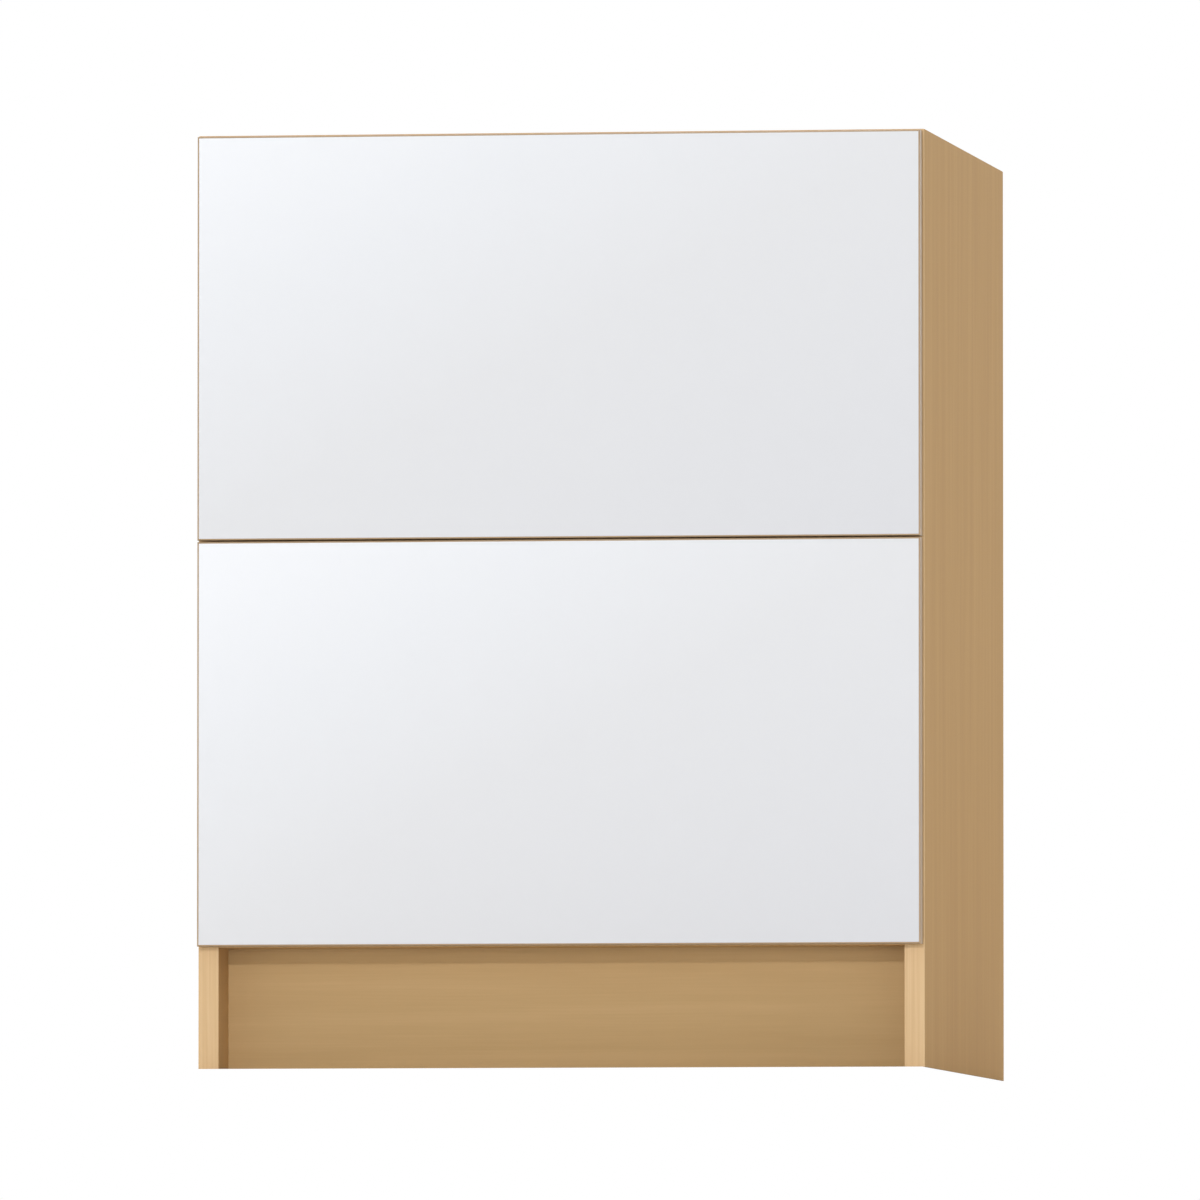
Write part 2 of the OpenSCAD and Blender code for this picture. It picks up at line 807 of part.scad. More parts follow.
module box_side(drawer) {
    y0 = box_y0 + box_t;
    y1 = box_y1 - box_t;
    color(birch) difference() {
        union() {
            block([box_inner, y0, box_z[drawer]], [box_half, y1, box_z[drawer] + box_h]);
            tails(drawer, y0, -1, 0);
            tails(drawer, y1, 1, 0);
        }
        bottom_groove_cut(drawer, [box_inner - over, box_y0], [box_inner + bottom_groove, box_y1]);
        drawer_screw_bores(drawer);
    }
}

// The board across one end of a box: side is -1 for the front board and 1 for the back one, and inner_y
// is the face it turns to the inside, where the sides' shoulders meet it
module box_end(drawer, inner_y, side) {
    outer_y = inner_y + side * box_t;
    groove_y = [inner_y - side * over, inner_y + side * bottom_groove];
    groove_x = box_inner + bottom_groove;
    difference() {
        block([-box_half, min(inner_y, outer_y), box_z[drawer]],
              [box_half, max(inner_y, outer_y), box_z[drawer] + box_h]);
        both_sides() tails(drawer, inner_y, side, fit);
        bottom_groove_cut(drawer, [-groove_x, min(groove_y)], [groove_x, max(groove_y)]);
    }
}

module box_front(drawer) {
    color(birch) difference() {
        box_end(drawer, box_y0 + box_t, -1);
        front_screw_bores(drawer);
    }
}

module box_back(drawer) {
    color(birch) box_end(drawer, box_y1 - box_t, 1);
}

module box_bottom(drawer) {
    x = box_inner + bottom_groove - 2 * groove_fit;
    y = box_t - bottom_groove + 2 * groove_fit;
    z = box_z[drawer] + bottom_rise;
    color(hardboard) block([-x, box_y0 + y, z], [x, box_y1 - y, z + bottom_t]);
}

// The pieces in place

mirror([1, 0, 0]) side_panel();  // side_panel_left
side_panel();  // side_panel_right
mirror([1, 0, 0]) side_edge_band();  // side_edge_band_left
side_edge_band();  // side_edge_band_right
bottom_panel();
top_rail_front();
top_rail_rear();
middle_rail();
rail_edge_bands();
back_panel();
back_rail_upper();
back_rail_lower();
toe_kick_board();
dowels();
cam_bolts();
cam_locks();
mirror([1, 0, 0]) cabinet_rail(0);  // lower_cabinet_rail_left
cabinet_rail(0);  // lower_cabinet_rail_right
mirror([1, 0, 0]) cabinet_rail(1);  // upper_cabinet_rail_left
cabinet_rail(1);  // upper_cabinet_rail_right
cabinet_rail_screws();
latch_housing(0);  // lower_latch_housing
latch_housing(1);  // upper_latch_housing
latch_spring(0);  // lower_latch_spring
latch_spring(1);  // upper_latch_spring
latch_screws();
latch_plunger(0);  // lower_latch_plunger
latch_plunger(1);  // upper_latch_plunger
drawer_front(0);  // lower_drawer_front
front_edge_bands(0);  // lower_front_edge_bands
box_front(0);  // lower_box_front
box_back(0);  // lower_box_back
mirror([1, 0, 0]) box_side(0);  // lower_box_side_left
box_side(0);  // lower_box_side_right
box_bottom(0);  // lower_box_bottom
mirror([1, 0, 0]) drawer_rail(0);  // lower_drawer_rail_left
drawer_rail(0);  // lower_drawer_rail_right
drawer_rail_screws(0);  // lower_drawer_rail_screws
front_screws(0);  // lower_front_screws
strike_plate(0);  // lower_strike_plate
drawer_front(1);  // upper_drawer_front
front_edge_bands(1);  // upper_front_edge_bands
box_front(1);  // upper_box_front
box_back(1);  // upper_box_back
mirror([1, 0, 0]) box_side(1);  // upper_box_side_left
box_side(1);  // upper_box_side_right
box_bottom(1);  // upper_box_bottom
mirror([1, 0, 0]) drawer_rail(1);  // upper_drawer_rail_left
drawer_rail(1);  // upper_drawer_rail_right
drawer_rail_screws(1);  // upper_drawer_rail_screws
front_screws(1);  // upper_front_screws
strike_plate(1);  // upper_strike_plate
mirror([1, 0, 0]) intermediate_rail(0);  // lower_intermediate_rail_left
intermediate_rail(0);  // lower_intermediate_rail_right
mirror([1, 0, 0]) intermediate_rail(1);  // upper_intermediate_rail_left
intermediate_rail(1);  // upper_intermediate_rail_right
outer_ball_cages(0);  // lower_outer_ball_cages
inner_ball_cages(0);  // lower_inner_ball_cages
outer_ball_cages(1);  // upper_outer_ball_cages
inner_ball_cages(1);  // upper_inner_ball_cages
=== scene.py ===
import json
import math
from itertools import count

import bmesh
import bpy
import numpy as np
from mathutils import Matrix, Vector


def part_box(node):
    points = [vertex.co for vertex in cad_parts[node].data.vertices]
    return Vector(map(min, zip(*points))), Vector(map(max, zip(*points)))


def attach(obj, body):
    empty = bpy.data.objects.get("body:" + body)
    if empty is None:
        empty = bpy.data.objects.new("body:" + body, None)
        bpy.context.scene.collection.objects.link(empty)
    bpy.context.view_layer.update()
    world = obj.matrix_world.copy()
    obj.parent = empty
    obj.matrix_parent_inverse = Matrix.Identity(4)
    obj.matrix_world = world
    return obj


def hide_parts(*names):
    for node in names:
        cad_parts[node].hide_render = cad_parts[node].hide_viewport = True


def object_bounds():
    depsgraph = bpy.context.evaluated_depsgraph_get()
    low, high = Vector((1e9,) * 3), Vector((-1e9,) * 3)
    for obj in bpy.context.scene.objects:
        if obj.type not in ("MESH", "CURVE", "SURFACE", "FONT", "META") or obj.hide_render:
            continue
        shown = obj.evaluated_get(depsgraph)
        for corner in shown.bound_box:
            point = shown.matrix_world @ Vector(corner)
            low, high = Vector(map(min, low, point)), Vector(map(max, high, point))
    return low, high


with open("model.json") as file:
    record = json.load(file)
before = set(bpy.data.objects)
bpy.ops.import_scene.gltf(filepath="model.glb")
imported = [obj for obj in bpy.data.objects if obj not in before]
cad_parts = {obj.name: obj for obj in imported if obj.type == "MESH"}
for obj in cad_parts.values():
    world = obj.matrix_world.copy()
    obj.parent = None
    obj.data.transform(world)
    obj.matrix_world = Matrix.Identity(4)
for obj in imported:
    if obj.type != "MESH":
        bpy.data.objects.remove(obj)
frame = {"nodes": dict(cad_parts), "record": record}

cad_box = [list(corner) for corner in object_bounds()]
nodes = frame["nodes"]
slot_of = {part["node"]: part["material_slot"] for part in frame["record"]["subparts"]}

MM = 0.001
PER_MM = 1 / MM
X, Y, Z = 0, 1, 2
DRAWERS = ("lower", "upper")


# Small tools

def tone(code):
    """An sRGB hex colour as the linear values that a shader takes."""
    parts = [int(code[i:i + 2], 16) / 255 for i in (1, 3, 5)]
    return [p / 12.92 if p <= 0.04045 else ((p + 0.055) / 1.055) ** 2.4 for p in parts] + [1.0]


def feed(tree, socket, value):
    """Sets an input to a value, or links it to the output that stands for one."""
    if isinstance(value, bpy.types.NodeSocket):
        tree.links.new(value, socket)
    else:
        socket.default_value = value


def add(tree, kind, inputs=None, stops=None, **settings):
    """Adds a node: its settings, its inputs (a value, or an output to link), and a ramp's stops."""
    node = tree.nodes.new(kind)
    for name, value in settings.items():
        setattr(node, name, value)
    for name, value in (inputs or {}).items():
        feed(tree, node.inputs[name], value)
    if stops:
        ramp = node.color_ramp.elements
        while len(ramp) < len(stops):
            ramp.new(1.0)
        for element, (place, code) in zip(ramp, stops):
            element.position = place
            element.color = tone(code)
    return node


def material(name, recipe, *values):
    """A material whose surface is the shader that a recipe builds in its tree."""
    made = bpy.data.materials.new(name)
    made.use_nodes = True
    tree = made.node_tree
    tree.nodes.clear()
    add(tree, "ShaderNodeOutputMaterial", {"Surface": recipe(tree, *values).outputs[0]})
    return made


def grains(long, wide):
    """The scale that a mapping on the "grain" map needs for marks of this length and width."""
    return (1 / long, 1 / wide, 1)


# Recipes for the finishes. A board's "grain" map has its length along the grain and its width across
# it, in metres. A pattern on Object coordinates says how many of its marks fit in a millimetre.

def melamine_board(tree, codes):
    # Melamine-faced particle board, a printed wood tone under a pressed satin texture: an even tan
    # with long faint streaks in the three tones given, soft in its shine and warm in the shade.
    grain = add(tree, "ShaderNodeUVMap", uv_map="grain")
    streak_map = add(tree, "ShaderNodeMapping", {
        "Vector": grain.outputs["UV"], "Scale": grains(long=450 * MM, wide=22 * MM),
    })
    fibre_map = add(tree, "ShaderNodeMapping", {
        "Vector": grain.outputs["UV"], "Scale": grains(long=90 * MM, wide=1.6 * MM),
    })
    streaks = add(tree, "ShaderNodeTexNoise", {
        "Vector": streak_map.outputs[0], "Scale": 1.0, "Detail": 3.0, "Distortion": 0.35,
    })
    fibres = add(tree, "ShaderNodeTexNoise", {"Vector": fibre_map.outputs[0], "Scale": 1.0, "Detail": 4.0})
    both = add(tree, "ShaderNodeMath", {
        0: fibres.outputs["Fac"], 1: 0.55, 2: streaks.outputs["Fac"],
    }, operation="MULTIPLY_ADD")
    colour = add(tree, "ShaderNodeValToRGB", {"Fac": both.outputs[0]},
                 stops=list(zip((0.5, 0.775, 1.0), codes)))
    shine = add(tree, "ShaderNodeMapRange", {"Value": fibres.outputs["Fac"], "To Min": 0.6, "To Max": 0.72})
    bump = add(tree, "ShaderNodeBump", {
        "Height": fibres.outputs["Fac"], "Strength": 0.35, "Distance": 0.04 * MM,
    })
    return add(tree, "ShaderNodeBsdfPrincipled", {
        "Base Color": colour.outputs["Color"], "Roughness": shine.outputs[0], "IOR": 1.5,
        "Specular IOR Level": 0.02, "Normal": bump.outputs["Normal"],
    })


def particle_core(tree):
    # Raw particle board, sawn: torn chips 1 to 3 mm long, pale and mid brown with a few dark ones,
    # lying along the board with small open pits between them, quite dull.
    place = add(tree, "ShaderNodeTexCoord")
    ragged = add(tree, "ShaderNodeTexNoise", {
        "Vector": place.outputs["Object"], "Scale": 0.9 * PER_MM, "Detail": 2.0,
    })
    torn = add(tree, "ShaderNodeVectorMath", {
        0: ragged.outputs["Color"], 1: (1.6 * MM,) * 3, 2: place.outputs["Object"],
    }, operation="MULTIPLY_ADD")
    chip_map = add(tree, "ShaderNodeMapping", {
        "Vector": torn.outputs[0], "Scale": (0.62 * PER_MM, 0.43 * PER_MM, 0.62 * PER_MM),
    })
    chips = add(tree, "ShaderNodeTexVoronoi", {"Vector": chip_map.outputs[0], "Scale": 1.0})
    chip_tone = add(tree, "ShaderNodeSeparateColor", {"Color": chips.outputs["Color"]})
    mixed = add(tree, "ShaderNodeMath", {
        0: ragged.outputs["Fac"], 1: 0.5, 2: chip_tone.outputs[0],
    }, operation="MULTIPLY_ADD")
    colour = add(tree, "ShaderNodeValToRGB", {"Fac": mixed.outputs[0]},
                 stops=[(0.15, "#94724A"), (0.32, "#B49263"), (0.75, "#C4A376"), (1.0, "#D3B78C")])
    bump = add(tree, "ShaderNodeBump", {
        "Height": mixed.outputs[0], "Strength": 0.6, "Distance": 0.2 * MM,
    })
    return add(tree, "ShaderNodeBsdfPrincipled", {
        "Base Color": colour.outputs["Color"], "Roughness": 0.85, "IOR": 1.45,
        "Normal": bump.outputs["Normal"],
    })


def edge_band(tree, codes, roughness):
    # ABS edge banding, printed to go with the board and trimmed flush: very smooth, with a few fine
    # lines along its length in the three tones given.
    grain = add(tree, "ShaderNodeUVMap", uv_map="grain")
    line_map = add(tree, "ShaderNodeMapping", {
        "Vector": grain.outputs["UV"], "Scale": grains(long=160 * MM, wide=2.2 * MM),
    })
    lines = add(tree, "ShaderNodeTexNoise", {"Vector": line_map.outputs[0], "Scale": 1.0, "Detail": 3.0})
    colour = add(tree, "ShaderNodeValToRGB", {"Fac": lines.outputs["Fac"]},
                 stops=list(zip((0.3, 0.5, 0.72), codes)))
    return add(tree, "ShaderNodeBsdfPrincipled", {
        "Base Color": colour.outputs["Color"], "Roughness": roughness, "IOR": 1.52,
    })


def gloss_acrylic(tree):
    # White acrylic sheet, laminated and polished: a cool white with a painted sheen, lighter at the upper
    # left corner and falling off softly to the lower right one, under a hard clear gloss with the faintest
    # waviness.
    face = add(tree, "ShaderNodeUVMap", uv_map="face")
    across = add(tree, "ShaderNodeVectorMath", {
        0: face.outputs["UV"], 1: (0.5, -0.5, 0.0),
    }, operation="DOT_PRODUCT")
    painted_sheen_fall = add(tree, "ShaderNodeMath", {0: across.outputs["Value"], 1: 0.5}, operation="ADD")
    # painted sheen: each front's base colour runs from light at its upper left corner to grey at its lower
    # right
    colour = add(tree, "ShaderNodeValToRGB", {"Fac": painted_sheen_fall.outputs[0]},
                 stops=[(0.0, "#F4F6FA"), (0.25, "#E9EBEF"), (0.5, "#E1E2E5"), (1.0, "#D9DADE")])
    place = add(tree, "ShaderNodeTexCoord")
    ripple_map = add(tree, "ShaderNodeMapping", {
        "Vector": place.outputs["Object"], "Scale": (1 / (6 * MM),) * 3,
    })
    ripple = add(tree, "ShaderNodeTexNoise", {"Vector": ripple_map.outputs[0], "Scale": 1.0, "Detail": 1.0})
    bump = add(tree, "ShaderNodeBump", {
        "Height": ripple.outputs["Fac"], "Strength": 0.1, "Distance": 0.01 * MM,
    })
    return add(tree, "ShaderNodeBsdfPrincipled", {
        "Base Color": colour.outputs["Color"], "Roughness": 0.06, "IOR": 1.49,
        "Normal": bump.outputs["Normal"],
    })


def white_backing(tree):
    # White melamine backing sheet on the rear of a front: matt, with a fine pressed texture.
    place = add(tree, "ShaderNodeTexCoord")
    grit = add(tree, "ShaderNodeTexNoise", {
        "Vector": place.outputs["Object"], "Scale": 0.9 * PER_MM, "Detail": 2.0,
    })
    colour = add(tree, "ShaderNodeValToRGB", {"Fac": grit.outputs["Fac"]},
                 stops=[(0.3, "#E3E4E6"), (0.7, "#ECEDEF")])
    bump = add(tree, "ShaderNodeBump", {
        "Height": grit.outputs["Fac"], "Strength": 0.3, "Distance": 0.05 * MM,
    })
    return add(tree, "ShaderNodeBsdfPrincipled", {
        "Base Color": colour.outputs["Color"], "Roughness": 0.5, "IOR": 1.5,
        "Normal": bump.outputs["Normal"],
    })


def birch_wood(tree):
    # Solid birch, planed and clear-lacquered: creamy, with wavy growth lines a few millimetres apart,
    # short dark pores and a satin shine that the pores break.
    grain = add(tree, "ShaderNodeUVMap", uv_map="grain")
    wave_map = add(tree, "ShaderNodeMapping", {
        "Vector": grain.outputs["UV"], "Scale": grains(long=320 * MM, wide=12 * MM),
    })
    pore_map = add(tree, "ShaderNodeMapping", {
        "Vector": grain.outputs["UV"], "Scale": grains(long=14 * MM, wide=0.7 * MM),
    })
    growth = add(tree, "ShaderNodeTexNoise", {
        "Vector": wave_map.outputs[0], "Scale": 1.0, "Detail": 5.0, "Roughness": 0.62, "Distortion": 0.9,
    })
    pores = add(tree, "ShaderNodeTexNoise", {"Vector": pore_map.outputs[0], "Scale": 1.0, "Detail": 2.0})
    both = add(tree, "ShaderNodeMath", {
        0: pores.outputs["Fac"], 1: 0.35, 2: growth.outputs["Fac"],
    }, operation="MULTIPLY_ADD")
    colour = add(tree, "ShaderNodeValToRGB", {"Fac": both.outputs[0]},
                 stops=[(0.4, "#C6A474"), (0.6, "#DCC096"), (0.75, "#E5CEA8"), (1.0, "#EAD7B5")])
    shine = add(tree, "ShaderNodeMapRange", {"Value": pores.outputs["Fac"], "To Min": 0.3, "To Max": 0.46})
    bump = add(tree, "ShaderNodeBump", {
        "Height": pores.outputs["Fac"], "Strength": 0.3, "Distance": 0.05 * MM,
    })
    return add(tree, "ShaderNodeBsdfPrincipled", {
        "Base Color": colour.outputs["Color"], "Roughness": shine.outputs[0], "IOR": 1.5,
        "Normal": bump.outputs["Normal"],
    })


def birch_end_grain(tree):
    # Sawn birch end grain under the same lacquer: it soaks up more, so it is darker and duller, with
    # rings about 3 mm apart.
    place = add(tree, "ShaderNodeTexCoord")
    rings = add(tree, "ShaderNodeTexNoise", {
        "Vector": place.outputs["Object"], "Scale": 0.33 * PER_MM, "Detail": 4.0, "Distortion": 0.6,
    })
    colour = add(tree, "ShaderNodeValToRGB", {"Fac": rings.outputs["Fac"]},
                 stops=[(0.3, "#A9834F"), (0.5, "#C09A67"), (0.7, "#CDAA78")])
    return add(tree, "ShaderNodeBsdfPrincipled", {
        "Base Color": colour.outputs["Color"], "Roughness": 0.6, "IOR": 1.5,
    })


def birch_plywood(tree):
    # Rotary-cut birch plywood, lacquered: broad lazy figure, paler and flatter than solid birch.
    grain = add(tree, "ShaderNodeUVMap", uv_map="grain")
    flame_map = add(tree, "ShaderNodeMapping", {
        "Vector": grain.outputs["UV"], "Scale": grains(long=280 * MM, wide=50 * MM),
    })
    pore_map = add(tree, "ShaderNodeMapping", {
        "Vector": grain.outputs["UV"], "Scale": grains(long=12 * MM, wide=0.8 * MM),
    })
    flame = add(tree, "ShaderNodeTexNoise", {
        "Vector": flame_map.outputs[0], "Scale": 1.0, "Detail": 6.0, "Roughness": 0.55, "Distortion": 1.4,
    })
    pores = add(tree, "ShaderNodeTexNoise", {"Vector": pore_map.outputs[0], "Scale": 1.0, "Detail": 2.0})
    both = add(tree, "ShaderNodeMath", {
        0: pores.outputs["Fac"], 1: 0.2, 2: flame.outputs["Fac"],
    }, operation="MULTIPLY_ADD")
    colour = add(tree, "ShaderNodeValToRGB", {"Fac": both.outputs[0]},
                 stops=[(0.4, "#CFAF80"), (0.6, "#DDC398"), (0.85, "#E6D0A9")])
    return add(tree, "ShaderNodeBsdfPrincipled", {
        "Base Color": colour.outputs["Color"], "Roughness": 0.42, "IOR": 1.5,
    })


def hardboard(tree):
    # Hardboard, hot-pressed from wood fibre: an even brown with a felted mottle about 2 mm across and
    # a few darker fibres, hard and nearly matt.
    place = add(tree, "ShaderNodeTexCoord")
    felt = add(tree, "ShaderNodeTexNoise", {
        "Vector": place.outputs["Object"], "Scale": 0.48 * PER_MM, "Detail": 5.0, "Roughness": 0.65,
    })
    cloud = add(tree, "ShaderNodeTexNoise", {
        "Vector": place.outputs["Object"], "Scale": 0.014 * PER_MM, "Detail": 2.0,
    })
    both = add(tree, "ShaderNodeMath", {
        0: cloud.outputs["Fac"], 1: 0.3, 2: felt.outputs["Fac"],
    }, operation="MULTIPLY_ADD")
    colour = add(tree, "ShaderNodeValToRGB", {"Fac": both.outputs[0]},
                 stops=[(0.4, "#A07C50"), (0.52, "#B28E61"), (0.66, "#B9966A"), (0.85, "#C2A076")])
    bump = add(tree, "ShaderNodeBump", {
        "Height": felt.outputs["Fac"], "Strength": 0.3, "Distance": 0.08 * MM,
    })
    return add(tree, "ShaderNodeBsdfPrincipled", {
        "Base Color": colour.outputs["Color"], "Roughness": 0.62, "IOR": 1.5,
        "Normal": bump.outputs["Normal"],
    })


def rolled_zinc(tree):
    # Cold-rolled steel strip, bright zinc-plated: silver with fine rolling lines along the slide.
    place = add(tree, "ShaderNodeTexCoord")
    line_map = add(tree, "ShaderNodeMapping", {
        "Vector": place.outputs["Object"], "Scale": (0.9 * PER_MM, 0.009 * PER_MM, 0.9 * PER_MM),
    })
    lines = add(tree, "ShaderNodeTexNoise", {"Vector": line_map.outputs[0], "Scale": 1.0, "Detail": 3.0})
    colour = add(tree, "ShaderNodeValToRGB", {"Fac": lines.outputs["Fac"]},
                 stops=[(0.3, "#AEB3B8"), (0.7, "#C9CDD1")])
    shine = add(tree, "ShaderNodeMapRange", {"Value": lines.outputs["Fac"], "To Min": 0.22, "To Max": 0.4})
    return add(tree, "ShaderNodeBsdfPrincipled", {
        "Base Color": colour.outputs["Color"], "Metallic": 1.0, "Roughness": shine.outputs[0],
    })


def dull_zinc(tree):
    # Zinc-plated wire and die-cast zinc, tumbled: grey, softly mottled, half dull.
    place = add(tree, "ShaderNodeTexCoord")
    cloud = add(tree, "ShaderNodeTexNoise", {
        "Vector": place.outputs["Object"], "Scale": 0.7 * PER_MM, "Detail": 3.0,
    })
    colour = add(tree, "ShaderNodeValToRGB", {"Fac": cloud.outputs["Fac"]},
                 stops=[(0.3, "#8B9095"), (0.7, "#A7ACB1")])
    return add(tree, "ShaderNodeBsdfPrincipled", {
        "Base Color": colour.outputs["Color"], "Metallic": 1.0, "Roughness": 0.38,
    })


def polished_steel(tree):
    # Hardened bearing steel, ground and polished: nearly a mirror, with a trace of oil that dulls it.
    place = add(tree, "ShaderNodeTexCoord")
    oil = add(tree, "ShaderNodeTexNoise", {
        "Vector": place.outputs["Object"], "Scale": 0.4 * PER_MM, "Detail": 2.0,
    })
    shine = add(tree, "ShaderNodeMapRange", {"Value": oil.outputs["Fac"], "To Min": 0.05, "To Max": 0.16})
    return add(tree, "ShaderNodeBsdfPrincipled", {
        "Base Color": tone("#D2D5D8"), "Metallic": 1.0, "Roughness": shine.outputs[0],
    })


def moulded_abs(tree):
    # ABS, injection-moulded in a spark-eroded tool: mid grey with a fine even grain of about 0.4 mm.
    place = add(tree, "ShaderNodeTexCoord")
    grit = add(tree, "ShaderNodeTexNoise", {
        "Vector": place.outputs["Object"], "Scale": 2.5 * PER_MM, "Detail": 1.0,
    })
    colour = add(tree, "ShaderNodeValToRGB", {"Fac": grit.outputs["Fac"]},
                 stops=[(0.3, "#94989D"), (0.7, "#A0A4A9")])
    bump = add(tree, "ShaderNodeBump", {
        "Height": grit.outputs["Fac"], "Strength": 0.4, "Distance": 0.05 * MM,
    })
    return add(tree, "ShaderNodeBsdfPrincipled", {
        "Base Color": colour.outputs["Color"], "Roughness": 0.48, "IOR": 1.53,
        "Normal": bump.outputs["Normal"],
    })


def moulded_acetal(tree):
    # Acetal, injection-moulded and slippery: dark grey, waxy, with faint flow lines.
    place = add(tree, "ShaderNodeTexCoord")
    flow = add(tree, "ShaderNodeTexNoise", {
        "Vector": place.outputs["Object"], "Scale": 0.22 * PER_MM, "Detail": 2.0,
    })
    shine = add(tree, "ShaderNodeMapRange", {"Value": flow.outputs["Fac"], "To Min": 0.28, "To Max": 0.4})
    return add(tree, "ShaderNodeBsdfPrincipled", {
        "Base Color": tone("#4A4D50"), "Roughness": shine.outputs[0], "IOR": 1.48,
    })


# The finishes of this cabinet

MELAMINE = material("melamine_board_tan", melamine_board, ("#BC986A", "#C09C6C", "#C4A070"))
# The toe kick board's melamine: the same board painted a shade lighter and yellower, painted light that
# makes up for the shade and warm bounce in the recessed toe space.
MELAMINE_PAINTED_LIGHTER = material("melamine_board_tan_painted_lighter", melamine_board, ("#C4A577", "#C8A97B", "#CCAD7F"))
CORE = material("particle_board_sawn_edge", particle_core)
BAND = material("abs_edge_banding_light_tan", edge_band, ("#D1AC7A", "#D7B381", "#DCBA8A"), 0.5)
# Mid tan edge banding on the fronts: a tan of its own, made darker than the carcass's banding as painted
# shade for the shaded line round each front.
FRONT_BAND_PAINTED_SHADE = material("abs_edge_banding_mid_tan_painted_shade", edge_band, ("#9E8260", "#A28664", "#A68A68"), 0.4)
ACRYLIC = material("acrylic_laminate_gloss_white", gloss_acrylic)
BACKING = material("melamine_backing_white", white_backing)
BIRCH = material("birch_clear_lacquer", birch_wood)
END_GRAIN = material("birch_end_grain", birch_end_grain)
PLYWOOD = material("birch_plywood_lacquered", birch_plywood)
HARDBOARD = material("hardboard_brown", hardboard)
ZINC = material("zinc_plated_rolled_steel", rolled_zinc)
DULL_ZINC = material("zinc_plated_fittings", dull_zinc)
BALL_STEEL = material("bearing_steel_polished", polished_steel)
ABS_GREY = material("abs_moulded_grey", moulded_abs)
ACETAL = material("acetal_moulded_dark", moulded_acetal)


# Pieces: meshes copied from a node, and the place they take

SAME_PLACE = 1e-6                      # corners this close are one
FLAT_WITHIN = math.radians(1)          # faces this near to one plane are one


def joined_copy(node):
    """A node's mesh with its loose triangles joined."""
    bm = bmesh.new()
    bm.from_mesh(nodes[node].data)
    bmesh.ops.remove_doubles(bm, verts=bm.verts, dist=SAME_PLACE)
    return bm


def whole_faced_copy(node):
    """A node's mesh joined, with each flat face in one piece."""
    bm = joined_copy(node)
    bmesh.ops.dissolve_limit(bm, angle_limit=FLAT_WITHIN, verts=bm.verts, edges=bm.edges)
    return bm


def make_piece(name, data):
    piece = bpy.data.objects.new(name, data)
    bpy.context.scene.collection.objects.link(piece)
    return piece


def finished_piece(name, bm, finishes):
    """Turns a mesh in the making into a piece with these materials."""
    mesh = bpy.data.meshes.new(name)
    bm.to_mesh(mesh)
    bm.free()
    for finish in finishes:
        mesh.materials.append(finish)
    return make_piece(name, mesh)


def apply_modifiers(piece):
    ready = piece.evaluated_get(bpy.context.evaluated_depsgraph_get())
    piece.data = bpy.data.meshes.new_from_object(ready)
    piece.modifiers.clear()


def stands_for(piece, node, body):
    """Puts a finished piece on its body in place of a node, and hides the node."""
    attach(piece, body)
    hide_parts(node)


# Boards: their edges are eased and their grain is laid

EASE_STEPS = 2
SHARP_FROM = math.radians(30)          # edges at least this sharp are rounded
PRINT_STEP = 0.61            # metres along the grain from one board's cut of the pattern to the next
PRINT_SIDE_STEP = 0.37       # the same across the grain, as a share of the step along it
LOOKS_ALONG = 0.9            # a face looks along an axis if its normal has more than this of it
LOOKS_ASIDE = 0.5            # and to its side if it has less than this
boards_so_far = count()


def longest_axis(places, axes):
    def reach(axis):
        along = [place[axis] for place in places]
        return max(along) - min(along)
    return max(axes, key=reach)


def lay_grain(bm, along, shift):
    """The "grain" map: the length along the grain and the width across it, in metres.

    End grain has both across. Where along is None, the grain follows the longer way of each face."""
    layer = bm.loops.layers.uv.new("grain")
    for face in bm.faces:
        facing = max((X, Y, Z), key=lambda axis: abs(face.normal[axis]))
        flat = [axis for axis in (X, Y, Z) if axis != facing]
        first = along if along in flat else flat[0]
        if along is None:
            first = longest_axis([vert.co for vert in face.verts], flat)
        second = next(axis for axis in flat if axis != first)
        for loop in face.loops:
            place = loop.vert.co
            loop[layer].uv = (place[first] + shift, place[second] + PRINT_SIDE_STEP * shift)


def lay_face(bm):
    """The "face" map: 0 to 1 across and up the piece, seen from the front."""
    layer = bm.loops.layers.uv.new("face")
    corners = np.array([vert.co for vert in bm.verts])
    low = corners.min(0)
    size = np.ptp(corners, axis=0)
    for face in bm.faces:
        for loop in face.loops:
            place = loop.vert.co
            loop[layer].uv = ((place.x - low[X]) / size[X], (place.z - low[Z]) / size[Z])


def ease_edges(piece, width):
    """Rounds every sharp edge by width, shades the rest flat, and leaves a plain mesh."""
    bevel = piece.modifiers.new("ease", "BEVEL")
    bevel.width = width
    bevel.segments = EASE_STEPS
    bevel.limit_method = "ANGLE"
    bevel.angle_limit = SHARP_FROM
    bevel.use_clamp_overlap = True
    weighted = piece.modifiers.new("shade", "WEIGHTED_NORMAL")
    weighted.keep_sharp = True
    apply_modifiers(piece)


def no_face(normal):
    """For a board with one finish all over."""
    return False


def board(node, body, along, finishes, edge_of=no_face, ease=0.3 * MM, face_map=False):
    """A board with finishes[0] on its faces and finishes[1] where edge_of(face normal) is true."""
    bm = whole_faced_copy(node)
    lay_grain(bm, along, PRINT_STEP * next(boards_so_far))
    if face_map:
        lay_face(bm)
    for face in bm.faces:
        face.smooth = True
        face.material_index = 1 if edge_of(face.normal) else 0
    piece = finished_piece(node + "_board", bm, finishes)
    ease_edges(piece, ease)
    stands_for(piece, node, body)


def particle_board(node, along, faces=MELAMINE):
    """A faced board of the carcass: its faces lie across its thin way, and its sawn edges show the core."""
    low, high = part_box(node)
    thin = min((X, Y, Z), key=lambda axis: high[axis] - low[axis])
    board(node, "cabinet", along, [faces, CORE], lambda normal: abs(normal[thin]) < LOOKS_ASIDE)


def solid_board(node, body, along):
    """A board of solid wood: the two ends and the ends of its joints show end grain."""
    board(node, body, along, [BIRCH, END_GRAIN], lambda normal: abs(normal[along]) > LOOKS_ALONG)


